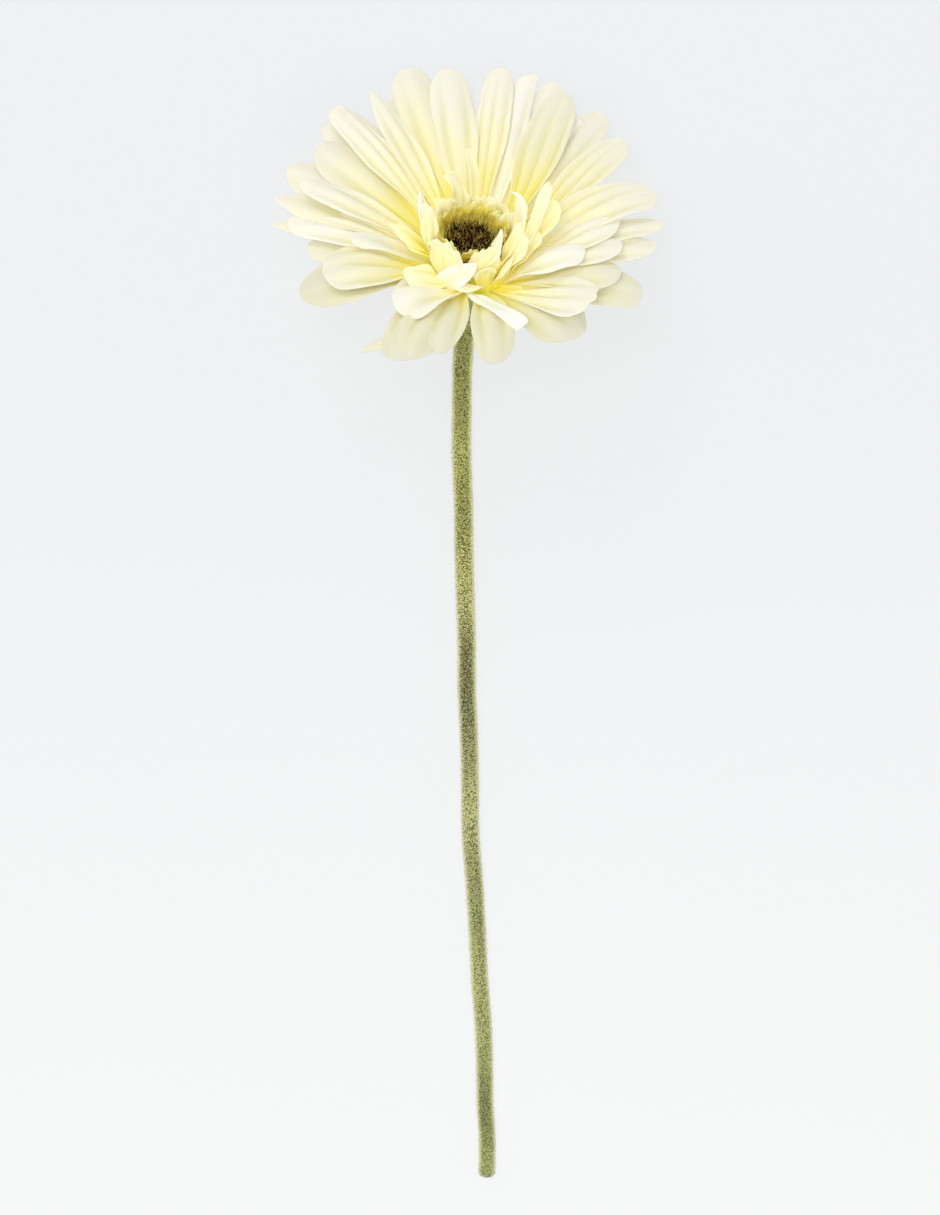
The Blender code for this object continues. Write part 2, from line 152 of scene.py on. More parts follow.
class Finish:
    """A Principled material, and the nodes that make its colours and relief."""

    def __init__(self, name, **surface):
        self.material = bpy.data.materials.new(name)
        self.material.use_nodes = True
        self.tree = self.material.node_tree
        self.surface = self.tree.nodes["Principled BSDF"]
        for socket, value in surface.items():
            self.set(socket.replace("_", " "), value)

    def node(self, kind, settings=None, inputs=None, output=0):
        """A node of that kind: its settings first, then its inputs' values or links."""
        made = self.tree.nodes.new(kind)
        for name, value in (settings or {}).items():
            setattr(made, name, value)
        for name, value in (inputs or {}).items():
            self.feed(made.inputs[name], value)
        return Socket(self, made.outputs[output])

    def feed(self, socket, value):
        if isinstance(value, Socket):
            self.tree.links.new(value.socket, socket)
        elif socket.type == "RGBA" and len(value) == 3:
            socket.default_value = (*value, 1.0)
        else:
            socket.default_value = value

    def set(self, name, value):
        self.feed(self.surface.inputs[name], value)

    def mix(self, share, one, other, blend="MIX"):
        """One colour where share is 0, the other where it is 1."""
        settings = {"data_type": "RGBA", "blend_type": blend, "clamp_factor": True}
        return self.node("ShaderNodeMix", settings, {0: share, 6: one, 7: other}, output=2)

    def tinted(self, colour, tint):
        return self.mix(1.0, colour, tint, "MULTIPLY")

    def attribute(self, name):
        return self.node("ShaderNodeAttribute", {"attribute_name": name}, output=2)

    def attributes(self, *names):
        return [self.attribute(name) for name in names]

    def place(self, scale=(1, 1, 1)):
        """Where the surface is in the world, times scale."""
        where = self.node("ShaderNodeTexCoord", output=3)
        return self.node("ShaderNodeVectorMath", {"operation": "MULTIPLY"}, {0: where, 1: scale})

    def vector(self, x, y, z):
        return self.node("ShaderNodeCombineXYZ", inputs={0: x, 1: y, 2: z})

    def noise(self, where, scale, detail=2.0, roughness=0.5):
        inputs = {"Vector": where, "Scale": scale, "Detail": detail, "Roughness": roughness}
        return self.node("ShaderNodeTexNoise", inputs=inputs)

    def cells(self, where, scale):
        """Distance to the middle of the nearest of many small cells."""
        return self.node("ShaderNodeTexVoronoi", inputs={"Vector": where, "Scale": scale})

    def done(self, colour, roughness, height=None, distance=0.0, strength=1.0):
        """The material, with its colour, roughness and relief."""
        self.set("Base Color", colour)
        self.set("Roughness", roughness)
        if height:
            inputs = {"Height": height, "Distance": distance, "Strength": strength}
            self.set("Normal", self.node("ShaderNodeBump", inputs=inputs))
        return self.material


# What all petals share
PETAL_GLOW = 0.12  # light that they pass on, as a share of full light
ROOT_GLOW = (0.92, 0.86, 0.06)
OUTER_GLOW = (0.94, 0.93, 0.86)
PALEST_SKIN = (0.968, 0.955, 0.90)
VIVID_SKIN = (0.96, 0.85, 0.02)
SKIN_TINT = (0.885, 0.885, 0.885)
YELLOWEST_TONE = 0.36  # petals with painted shade are as yellow as at this tone at most


def petal_finish(name, deep, root, middle, tip, painted_shade_share):
    """Soft cream petal skin: vivid yellow at the root, with painted highlights on its ridges and edges.

    Petals of a low tone are yellower or, with a share of painted shade, greyer by up to that share.
    Painted shade darkens the channels between the ridges. A faint glow stands for the light that
    thin petals pass on.
    """
    finish = Finish(
        name,
        Subsurface_Weight=0.8,
        Subsurface_Radius=(1.0, 0.85, 0.5),
        Subsurface_Scale=0.3 * MM,
        Sheen_Weight=0.03,
        Sheen_Roughness=0.4,
        Specular_IOR_Level=0.2,
        Emission_Strength=PETAL_GLOW,
    )
    along, across, crest, tone = finish.attributes("along", "across", "crest", "tone")
    veins = finish.noise(finish.vector(across * 5, along * 1.2, tone * 40), 1.0)
    clouds = finish.noise(finish.place(), 70.0)
    paleness = tone.at_least(YELLOWEST_TONE) if painted_shade_share else tone
    reach = along + (clouds - 0.5) * 0.3 + (veins - 0.5) * 0.1 + (paleness - 0.5) * 0.55
    colour = finish.mix(reach.between(-0.05, 0.2), deep, root)
    colour = finish.mix(reach.between(0.1, 0.5), colour, middle)
    colour = finish.mix(reach.between(0.4, 0.95), colour, tip)
    # painted highlight: paler along the ridges' tops and at the curled edges
    pale = crest.between(0.4, 1.0) * 0.2 + abs(across).between(0.8, 1.0) * 0.4
    colour = finish.mix(pale.clipped(), colour, tip)
    # the palest petals: partly their own tone, partly painted light
    colour = finish.mix(tone.between(0.65, 1.0) * 0.85, colour, PALEST_SKIN)
    hollow = 1 - crest.between(0.0, 0.5)
    vivid = (hollow * 0.45 + 0.5) * (1 - reach.between(0.1, 0.5))
    colour = finish.mix(vivid, colour, VIVID_SKIN)
    # painted shade: darker in the channels between the ridges, with faint veins
    painted_shade_and_veins = 1 - hollow * 0.09 - veins.between(0.35, 0.65) * 0.012
    colour = finish.tinted(colour, finish.vector(painted_shade_and_veins, painted_shade_and_veins, painted_shade_and_veins * painted_shade_and_veins * painted_shade_and_veins))
    colour = finish.tinted(colour, SKIN_TINT)
    # painted shade: petals of a low tone greyed by up to that share
    if painted_shade_share:
        painted_grey = finish.tinted(colour, (1 - painted_shade_share, 1 - painted_shade_share * 0.95, 1 - painted_shade_share * 1.25))
        colour = finish.mix(tone.between(0.5, 0.2), colour, painted_grey)
    finish.set("Emission Color", finish.mix(reach.between(-0.1, 0.4), ROOT_GLOW, OUTER_GLOW))
    grain = finish.noise(finish.vector(across * 26, along * 5, tone * 70), 1.0)
    weave = finish.noise(finish.place(), 1400.0, 1.0)
    height = veins * 0.5 + grain * 0.2 + weave * 0.12
    return finish.done(colour, grain * 0.2 + 0.42, height, 0.2 * MM, 0.4)


def receptacle_finish():
    """Smooth green and yellow flesh, nearly hidden by the petals."""
    green, yellow = (0.58, 0.64, 0.03), (0.93, 0.85, 0.14)
    finish = Finish("receptacle_skin", Subsurface_Weight=0.2, Subsurface_Scale=2 * MM)
    patches = finish.noise(finish.place(), 260.0, 3.0)
    colour = finish.mix(patches, green, yellow)
    return finish.done(colour, patches * 0.2 + 0.5, patches, 0.4 * MM)


def ochre_finish():
    """Ring florets: dark at the foot, golden ochre, olive, and nearly cream at the notched tip."""
    foot, ochre = (0.06, 0.035, 0.006), (0.58, 0.42, 0.03)
    olive, cream = (0.78, 0.66, 0.11), (0.92, 0.87, 0.46)
    finish = Finish("ochre_floret", Subsurface_Weight=0.6, Specular_IOR_Level=0.3)
    finish.set("Subsurface Radius", (1.0, 0.85, 0.4))
    finish.set("Subsurface Scale", 0.4 * MM)
    along, across, tone = finish.attributes("along", "across", "tone")
    speckle = finish.noise(finish.place(), 1300.0)
    streaks = finish.noise(finish.vector(across * 5, along * 0.8, tone * 50), 1.0)
    reach = along + (speckle - 0.5) * 0.25 + (streaks - 0.5) * 0.35 + (tone - 0.5) * 0.2
    colour = finish.mix(reach.between(0.05, 0.3), foot, ochre)
    colour = finish.mix(reach.between(0.25, 0.55), colour, olive)
    colour = finish.mix(reach.between(0.5, 0.95), colour, cream)
    return finish.done(colour, speckle * 0.25 + 0.5, streaks * 0.7 + speckle * 0.3, 0.15 * MM)


def bristle_finish():
    """Centre florets: near black, with some golden tips."""
    black, brown, gold = (0.003, 0.0015, 0.0007), (0.035, 0.014, 0.003), (0.86, 0.58, 0.12)
    finish = Finish("dark_bristle", Specular_IOR_Level=0.08)
    along, tone = finish.attributes("along", "tone")
    golden = tone.between(0.66, 0.78) * along.between(0.1, 0.5)
    colour = finish.mix(golden, finish.mix(along, black, brown), gold)
    return finish.done(colour, finish.noise(finish.place(), 900.0) * 0.3 + 0.4)


def stem_finish(name, dark, light, pale):
    """Flocked olive skin: fine specks, painted sheen at its sides and painted shade on its top.

    It is warmer near the head and greener and lighter towards the cut end.
    """
    greener, warmer = (0.87, 0.98, 0.80), (1.15, 1.15, 0.78)
    finish = Finish(name, Sheen_Weight=0.35, Sheen_Roughness=0.5, Specular_IOR_Level=0.2)
    specks = finish.noise(finish.place(), 1900.0, 1.0, 0.6)
    flecks = finish.cells(finish.place(), 1700.0)
    lengthwise = finish.noise(finish.place((1, 0.12, 1)), 220.0)
    down = finish.attribute("down")
    colour = finish.mix((specks + lengthwise * 0.3 - 0.15).between(0.42, 0.58), dark, light)
    colour = finish.mix((0.42 - flecks).between(0.0, 0.2) * 0.8, colour, pale)
    colour = finish.mix(down.between(0.45, 1.0) * 0.25, colour, light)
    patches = finish.noise(finish.place((1, 0.3, 1)), 60.0, 1.0)
    green = patches.between(0.4, 0.7) * 0.4 + down.between(0.5, 0.95) * 0.6
    colour = finish.mix(green, colour, finish.tinted(colour, greener))
    warm = (1 - down.between(0.2, 0.5)) * 0.8
    colour = finish.mix(warm, colour, finish.tinted(colour, warmer))
    top = finish.attribute("top")
    # painted sheen: paler where the skin turns to its sides
    colour = finish.mix((1 - abs(top).between(0.3, 0.85)) * 0.55, colour, pale)
    # painted shade where the skin faces up, darker in stretches along it
    stretches = finish.noise(finish.place((0.2, 1, 0.2)), 22.0, 1.0)
    shade = 1 - top.between(0.45, 0.98) * (stretches.between(0.35, 0.65) * 0.4 + 0.17)
    colour = finish.tinted(colour, finish.vector(shade, shade, shade))
    return finish.done(colour, specks * 0.2 + 0.7, specks * 0.6 - flecks * 0.6, 0.3 * MM)


def bract_finish():
    """Green bracts: finely streaked, with a darker middle line, pale edges and a brownish tip."""
    dark, light, keel = (0.20, 0.28, 0.06), (0.36, 0.45, 0.12), (0.11, 0.17, 0.03)
    edge, speck, brown = (0.62, 0.66, 0.34), (0.58, 0.62, 0.30), (0.20, 0.12, 0.04)
    finish = Finish("bract_skin", Sheen_Weight=0.3, Sheen_Roughness=0.5, Specular_IOR_Level=0.25)
    along, across, tone = finish.attributes("along", "across", "tone")
    outwards = abs(across)
    streaks = finish.noise(finish.vector(across * 6, along * 1.5, tone * 60), 1.0, 3.0)
    specks = finish.noise(finish.place(), 1500.0)
    colour = finish.mix(streaks.between(0.3, 0.7), dark, light)
    colour = finish.mix((1 - outwards).between(0.8, 1.0) * 0.5, colour, keel)
    colour = finish.mix(outwards.between(0.6, 1.0) * 0.6, colour, edge)
    colour = finish.mix(specks.between(0.5, 0.75) * 0.5, colour, speck)
    worn = (along + (specks - 0.5) * 0.3).between(0.84, 0.98) * 0.7
    colour = finish.mix(worn, colour, brown)
    return finish.done(colour, specks * 0.25 + 0.6, streaks * 0.7 + specks * 0.3, 0.25 * MM)


def fur_finish():
    """Pale olive hairs, paler at their tips."""
    dark, light, tip = (0.16, 0.17, 0.035), (0.60, 0.60, 0.30), (0.78, 0.77, 0.50)
    finish = Finish("stem_fur", Sheen_Weight=0.3, Specular_IOR_Level=0.1)
    along, tone = finish.attributes("along", "tone")
    colour = finish.mix(along * 0.7, finish.mix(tone, dark, light), tip)
    return finish.done(colour, finish.noise(finish.place(), 800.0) * 0.2 + 0.7)


def floor_finish():
    """A nearly white floor that lights itself, a little more towards the stem's cut end."""
    finish = Finish("pale_floor", Specular_IOR_Level=0.1, Emission_Strength=0.725)
    mottle = finish.noise(finish.place(), 6.0, 3.0)
    north = finish.node("ShaderNodeSeparateXYZ", inputs={0: finish.place()}, output=1)
    glow = finish.mix(north.between(0.12, -0.2), (0.97, 0.98, 0.995), (1.06, 1.07, 1.07))
    finish.set("Emission Color", glow)
    colour = finish.mix(mottle, (0.128, 0.129, 0.131), (0.137, 0.138, 0.140))
    return finish.done(colour, mottle * 0.1 + 0.7)


# Pieces


def new_piece(name, points, faces, finish, node, **attributes):
    """A smooth mesh that rides with the flower and stands for one of its solids."""
    mesh = bpy.data.meshes.new(name)
    mesh.from_pydata(np.asarray(points).reshape(-1, 3).tolist(), [], faces)
    for label, values in attributes.items():
        layer = mesh.attributes.new(label, "FLOAT", "POINT")
        layer.data.foreach_set("value", np.asarray(values, np.float32).ravel())
    mesh.shade_smooth()
    mesh.materials.append(finish)
    piece = bpy.data.objects.new(name, mesh)
    bpy.context.scene.collection.objects.link(piece)
    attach(piece, "root")
    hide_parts(node)


def thin_solid(grid, thickness):
    """Points and faces of a closed thin solid on a grid of points, with a rounded rim.

    It thins out towards its edges and its end. The third result is each point's place in the grid.
    """
    rows, columns = grid.shape[:2]
    normal = unit(np.cross(np.gradient(grid, axis=0), np.gradient(grid, axis=1)))
    v = np.linspace(0, 1, rows)[:, None]
    u = np.linspace(-1, 1, columns)[None, :]
    half = 0.5 * thickness * (1 - 0.7 * abs(u) ** 5) * (1 - 0.7 * v**16)
    top = (grid + normal * half[..., None]).reshape(-1, 3)
    bottom = (grid - normal * half[..., None]).reshape(-1, 3)
    count = rows * columns
    loop = [i * columns for i in range(rows)]
    loop += [(rows - 1) * columns + j for j in range(1, columns)]
    loop += [i * columns + columns - 1 for i in reversed(range(rows - 1))]
    loop += list(reversed(range(1, columns - 1)))
    edge = grid.reshape(-1, 3)[loop]
    forward = np.roll(edge, -1, axis=0) - np.roll(edge, 1, axis=0)
    outward = np.cross(forward, normal.reshape(-1, 3)[loop])
    rim = edge + unit(outward) * half.ravel()[loop][:, None] * 1.2
    faces = []
    for i in range(rows - 1):
        for j in range(columns - 1):
            a, b = i * columns + j, (i + 1) * columns + j
            faces.append((a, b, b + 1, a + 1))
            faces.append((a + 1 + count, b + 1 + count, b + count, a + count))
    for k, p in enumerate(loop):
        n = (k + 1) % len(loop)
        q, outer, after = loop[n], 2 * count + k, 2 * count + n
        faces.append((q, p, outer, after))
        faces.append((after, outer, p + count, q + count))
    return np.vstack([top, bottom, rim]), faces, np.array([*range(count), *range(count), *loop])


def turned(profile):
    """Points and faces of a solid turned about the head's axis from radius and height pairs."""
    inner = profile[1:-1]
    sides = ROUND_SIDES
    angle = 2 * math.pi * np.arange(sides) / sides
    x = inner[:, :1] * np.cos(angle)
    y = inner[:, :1] * np.sin(angle)
    ring = np.stack([x, y, np.repeat(inner[:, 1:], sides, axis=1)], axis=-1)
    points = np.vstack([[[0, 0, profile[0][1]]], ring.reshape(-1, 3), [[0, 0, profile[-1][1]]]])
    last = len(points) - 1
    top = last - sides
    faces = []
    for k in range(sides):
        n = (k + 1) % sides
        faces.append((0, 1 + n, 1 + k))
        for i in range(len(inner) - 1):
            a, b = 1 + i * sides, 1 + (i + 1) * sides
            faces.append((a + k, a + n, b + n, b + k))
        faces.append((last, top + k, top + n))
    return points, faces


def rounded(profile):
    """A smooth curve through the points of a profile."""
    slope = np.gradient(profile, axis=0)
    gaps = len(profile) - 1
    at = np.linspace(0, gaps, gaps * CURVE_STEPS + 1)
    i = np.minimum(at.astype(int), gaps - 1)
    t = (at - i)[:, None]
    h = ease(t)
    bend = t * (1 - t) ** 2 * slope[i] - t * t * (1 - t) * slope[i + 1]
    return profile[i] * (1 - h) + profile[i + 1] * h + bend


def circles(ways, radii, sides):
    """Points of a small circle round each way."""
    side = unit(np.cross(ways, np.where(abs(ways[:, 2:]) > 0.9, [1.0, 0.0, 0.0], UP)))
    other = np.cross(ways, side)
    angle = 2 * math.pi * np.arange(sides) / sides
    around = side[:, None] * np.cos(angle)[:, None] + other[:, None] * np.sin(angle)[:, None]
    return around * radii[:, None, None]


def spikes(feet, ways, lengths, radii, bend):
    """Points, faces and shares along of many closed spikes, each bent, with a waist halfway."""
    sides = BRISTLE_SIDES
    circle = circles(ways, radii, sides)
    tip = feet + ways * lengths[:, None] + bend
    waist = feet + ways * lengths[:, None] * 0.5 + bend * 0.25
    low = feet[:, None] + circle
    high = waist[:, None] + circle * 0.75
    points = np.concatenate([low, high, tip[:, None]], axis=1)
    pattern = [tuple(reversed(range(sides)))]
    for k in range(sides):
        n = (k + 1) % sides
        pattern.append((k, n, sides + n, sides + k))
        pattern.append((sides + k, sides + n, 2 * sides))
    size = 2 * sides + 1
    faces = [tuple(v + i * size for v in face) for i in range(len(feet)) for face in pattern]
    return points, faces, np.tile([0.0] * sides + [0.5] * sides + [1.0], (len(feet), 1))


def hairs(feet, ways, lengths):
    """Points, faces and shares along of many closed three-sided hairs."""
    radii = np.full(len(feet), HAIR_RADIUS)
    low = feet[:, None] + circles(ways, radii, 3)
    points = np.concatenate([low, (feet + ways * lengths[:, None])[:, None]], axis=1)
    pattern = [(2, 1, 0), (0, 1, 3), (1, 2, 3), (2, 0, 3)]
    faces = [tuple(v + i * 4 for v in face) for i in range(len(feet)) for face in pattern]
    return points, faces, np.tile([0.0, 0.0, 0.0, 1.0], (len(feet), 1))


def bundle(name, straps, thickness, finish, node):
    """One piece of many thin solids, each from its grid, shares along and across, and tone."""
    points, faces, marks, base = [], [], [], 0
    for grid, along, across, tone in straps:
        strap, strap_faces, origin = thin_solid(grid, thickness)
        points.append(strap)
        faces += [tuple(v + base for v in face) for face in strap_faces]
        base += len(strap)
        shares = [np.broadcast_to(mark, grid.shape[:2]).ravel()[origin] for mark in (along, across)]
        marks.append([*shares, np.full(len(strap), tone)])
    along, across, tone = np.concatenate(marks, axis=1)
    points = out_of_bloom(np.vstack(points))
    new_piece(name, points, faces, finish, node, along=along, across=across, tone=tone)


# Petals

# Rows and columns of a petal's grid, width at its root as a share of its width, and thickness
RAY_CUT = (40, 25), 0.26, 0.6 * MM
INNER_CUT = (28, 25), 0.5, 0.5 * MM


@dataclass
class Petal:
    """One petal, in millimetres and degrees, as the solids have it, and then its own shape.

    across and along are where the tip shows from straight above, lift its height on the
    head's axis, rise and droop how it leaves the ring and falls at its end, roll how far it
    turns about its length, and swing how far round the ring its root stands from its tip.
    """

    across: float
    along: float
    lift: float
    width: float
    rise: float
    droop: float
    roll: float = 0
    swing: float = 0
    waves: int = 2  # waves of the face from edge to edge, so one ridge fewer inside
    ridge: float = 0.4  # height of the ridges
    curl: float = 0.9  # how far round the edges curl up near the root, in radians
    tip_curl: float = -0.7  # the same at the tip, where they curl down if below 0
    twist: float = 0  # further turn about its length at the tip
    sway: float = 0  # sideways bow of the middle
    flick: float = -0.8  # how far the end turns up, or down if below 0
    blunt: float = 1.5  # length of the rounded end, in half widths
    point: float = 0  # 0 for a round end, 1 for a pointed one
    slant: float = 0  # how far the tip's left corner, seen along the petal, reaches ahead
    teeth: int = 0  # teeth in the tip's edge
    tooth: float = 0  # depth between the teeth
    ruffle: float = 0.5  # how far the edges wave
    white: float = 0  # how much paler it is than the others, or deeper if below 0: partly its own tone, partly painted light and painted shade
    outside: bool = False  # whether an inner petal stands on the upper rays' ring


# All three sets run clockwise from the head's far side
LOWER_RAYS = [
    Petal(8.5, 61, 19.5, 10, 12, 8),
    Petal(16.5, 62, 21, 10, 12, 8, swing=-5, blunt=0.45, slant=-3, white=0.7),
    Petal(26, 60, 18.8, 12, 12, 8, swing=-8, curl=0.5, white=0.6),
    Petal(32, 50, 17, 10, 12, 8, swing=-8, waves=1, ridge=0.3, white=1.4),
    Petal(40.5, 50.5, 17, 14, 14, 10, swing=-6, tip_curl=-0.8, flick=-1.6, white=0.6),
    Petal(40, 36, 12, 14, 14, 10, swing=-6, ridge=0.5, white=-0.7),
    Petal(59, 13.5, 12, 10, 22, 20, swing=-12, ridge=0.5, point=0.5, white=0.4),
    Petal(57, 6.5, 9, 12, 22, 22, swing=-14, waves=3, ridge=0.5, curl=0.8, point=0.4, white=0.3),
    Petal(52, -7.5, 6, 18, 12, 18, swing=-16, flick=-1.5, slant=-2.5, blunt=1.1, white=-0.3),
    Petal(31.5, -23, 6, 20, 22, 34, swing=-10, waves=3, ridge=0.45, slant=1.5, blunt=1.1, ruffle=0.8,
          white=-0.6),
    Petal(7, -31, 6, 13.5, 30, 44, sway=1, ruffle=0.7, white=-0.7),
    Petal(-10.5, -28, 6, 13, 30, 44, point=0.4, white=-0.8),
    Petal(-22.5, -30, 5, 18, 26, 36, waves=3, ruffle=1, slant=-2, blunt=0.9, white=-0.9),
    Petal(-34.5, -27, 3, 7, 22, 24, swing=8, waves=1, point=1, sway=8, ruffle=0.8, white=-0.4),
    Petal(-53, -8, 5, 19, 18, 22, swing=8, tip_curl=-0.6, slant=1.5, white=-0.8),
    Petal(-51, 6, 8.5, 14, 16, 14, swing=4, waves=1, ridge=0.3),
    Petal(-62, 14, 8, 9, 14, 10, waves=1, point=1),
    Petal(-57, 32.5, 14, 18, 12, 8, tip_curl=-0.8, flick=-1.6),
    Petal(-46, 47, 16, 11, 12, 8, waves=1, ridge=0.3, flick=-1.4, white=0.3),
    Petal(-40, 50, 17, 12, 12, 8),
    Petal(-23.5, 57, 16.6, 13, 12, 8, ridge=0.5),
    Petal(-15.5, 61, 19.5, 12, 12, 8),
    Petal(-8.5, 61, 19.5, 12, 12, 8),
]
UPPER_RAYS = [
    Petal(-20.5, 64.5, 23, 16, 10, 6, ridge=0.3, blunt=1.2, curl=0.6, flick=-1.2),
    Petal(-8, 64.5, 24, 14.5, 10, 6, ridge=0.25, curl=0.6, flick=-1.5, white=0.2),
    Petal(9, 64.5, 24, 11, 10, 6, waves=3, ridge=0.45, blunt=1.8, curl=0.8),
    Petal(28.5, 56, 23, 15.2, 12, 6, swing=-12, waves=3, ridge=0.5, flick=-1.4, blunt=1.6, white=-0.2),
    Petal(47, 40.5, 21, 13, 14, 10, swing=-10, waves=3, ridge=0.5, curl=1.1, blunt=1.4, white=-0.25),
    Petal(55.5, 25, 18, 17, 28, 26, swing=-14, waves=3, ridge=0.5, flick=-2, slant=-2.5, blunt=1.1),
    Petal(45, 15.5, 17, 15, 24, 22, swing=-24, waves=4, tip_curl=-0.9, flick=-1.8, white=0.7),
    Petal(46, 6.8, 14, 11.5, 20, 18, swing=-30, waves=3, white=0.3),
    Petal(34.5, 5, 16, 14, 24, 30, swing=-30, ridge=0.3, tip_curl=-0.9, flick=-1.8, curl=0.4, blunt=1.2,
          white=0.8),
    Petal(45.5, -2, 11, 15, 14, 16, swing=-26, flick=-1.6, tip_curl=-0.8, white=-0.35),
    Petal(37.5, -12.5, 12, 18, 8, 16, swing=-22, waves=3, blunt=0.9, teeth=3, tooth=0.7, flick=1.8,
          tip_curl=-0.3, white=0.3),
    Petal(15.5, -19, 12, 5.5, 24, 20, 10, -28, waves=1, ridge=0.2, ruffle=1, sway=-0.8, blunt=0.5,
          curl=0.5, white=1),
    Petal(-24, -13, 11, 20, 20, 44, swing=22, ridge=0.5, flick=-1.5, slant=3, ruffle=0.9, tip_curl=-0.5,
          white=0.6),
    Petal(-46, -1.5, 11, 20, 18, 20, swing=6, waves=3, ridge=0.45, slant=1.5, blunt=1.2, white=-0.5),
    Petal(-37.5, 9, 16, 8, 18, 18, swing=4, waves=1, ridge=0.6, tip_curl=-0.9, curl=0.3, white=0.8),
    Petal(-57, 14.5, 13, 13.5, 16, 14, swing=2, waves=3, ridge=0.5, tip_curl=-0.9, flick=-1.4,
          white=0.6),
    Petal(-61, 21.5, 15, 12, 12, 10, waves=1, point=0.6, curl=1.2, slant=-1.5),
    Petal(-53, 27, 20.5, 11, 14, 10, 4, ridge=0.5, curl=0.5, tip_curl=-1, white=0.6),
    Petal(-47.5, 39, 19, 18, 12, 8, ridge=0.3, curl=0.6, flick=-1.5, blunt=1.2, white=-0.35),
    Petal(-43, 51.5, 23.5, 11, 12, 6, waves=3, ridge=0.5, flick=-1.6, white=0.2),
    Petal(-31.5, 56.5, 24, 10, 12, 6, 8, ridge=0.45, point=0.8, blunt=1.8, curl=1),
]
INNER_PETALS = [
    Petal(-1, 35.5, 34, 3.5, 4, 6, 30, waves=1, ridge=0.2, curl=1.2, tip_curl=1, sway=-1.5, white=0.3),
    Petal(-2.5, 23, 19, 8, 6, 2, waves=1, blunt=0.9, slant=1, teeth=3, tooth=0.9, ruffle=1.2,
          white=-0.6),
    Petal(2.5, 22, 19, 8.5, 2, 0, blunt=0.8, slant=-0.8, teeth=4, tooth=1, ruffle=1.2, white=-0.6),
    Petal(8, 20.5, 19, 7.5, 2, 0, 20, waves=1, blunt=0.9, slant=1, teeth=3, tooth=1.2, ruffle=1.2,
          white=-0.6),
    Petal(12, 16.5, 20, 7, 2, 0, 40, blunt=0.8, slant=-1, teeth=3, tooth=1.2, ruffle=1.2, white=-0.4),
    Petal(11.5, 23, 28, 2.4, 30, 60, 20, -36, waves=1, ridge=0.2, point=0.7, sway=-8, white=0.6),
    Petal(15, 20.5, 27, 5, -6, -4, 50, -28, waves=1, ridge=0.2, blunt=0.8, slant=1.5),
    Petal(26, 19, 26, 9, 4, 2, 30, -22, ridge=0.3, curl=0.6, white=-0.8),
    Petal(23, 24.5, 34, 4.4, -14, -18, 60, -46, ridge=0.2, curl=0.5, tip_curl=0.3, point=0.5, white=0.4),
    Petal(14.5, 12.5, 26, 5, -4, 0, 55, -28, point=0.6, waves=1, ridge=0.2, white=-0.4),
    Petal(15.5, 9, 24, 9, 4, 6, 45, -12, ridge=0.3, curl=0.4, ruffle=0.8, blunt=0.8, slant=-1.5,
          white=0.6, outside=True),
    Petal(8.5, 10, 27, 6, -4, -8, 75, -18, point=0.7, ridge=0.3, white=0.6),
    Petal(3.8, 5.5, 22, 10, -4, -2, ridge=0.3, curl=0.6, tip_curl=0.4, ruffle=1.2, blunt=0.5, slant=0.6,
          teeth=4, tooth=1.3, outside=True),
    Petal(4.5, -1, 15, 7, 12, 20, waves=1, ridge=0.2, curl=0.8, tip_curl=-0.9, blunt=1.2, white=0.2,
          outside=True),
    Petal(-2.5, -7.6, 10, 12.5, 30, 40, waves=1, ridge=0.2, curl=0.6, tip_curl=-1, flick=-2, white=0.5,
          outside=True),
    Petal(1.5, 0.6, 21, 8.5, -24, -14, -35, -47, waves=1, ridge=0.2, point=1, blunt=2.2, curl=0.3,
          tip_curl=0.3, ruffle=1, white=1.6, outside=True),
    Petal(-7.5, 6.5, 22, 14, -6, -2, waves=4, ridge=0.3, ruffle=1.3, blunt=0.5, slant=-1.2, teeth=3,
          tooth=1.7, white=0.6, outside=True),
    Petal(-20, -4, 14, 10, 26, 20, -20, 12, ridge=0.3, flick=-1.5, blunt=0.7, ruffle=0.8, outside=True),
    Petal(-13.5, 18, 25, 5, -12, -8, -75, 34, ridge=0.3, ruffle=1.2, blunt=0.9, slant=1.5, white=0.1),
    Petal(-25.5, 13, 18, 6, 12, 8, -20, 14, point=1, waves=1, ridge=0.3, curl=0.8, white=-0.6),
    Petal(-23.5, 11, 15, 6, 10, 8, -20, 20, point=1, waves=1, ridge=0.3, curl=0.8, white=-0.9),
    Petal(-16, 22.5, 27, 2.2, -4, 0, -50, 14, point=1, waves=1, ridge=0.2, sway=1, white=1),
    Petal(-6.5, 28.5, 29, 5, 6, 6, -20, twist=50, sway=-2, ruffle=1.6, blunt=0.6, white=0.2),
    Petal(-8, 21, 20, 8, 2, 0, -20, blunt=0.8, slant=1, teeth=4, tooth=1, ruffle=1.2, white=-0.6),
    Petal(12, 2, 17, 7, 10, 10, 30, -10, waves=1, ridge=0.2, curl=0.6, blunt=1, outside=True),
    Petal(20, 10.5, 20, 8, 10, 10, 30, -14, ridge=0.3, curl=0.6, blunt=0.9, outside=True),
]


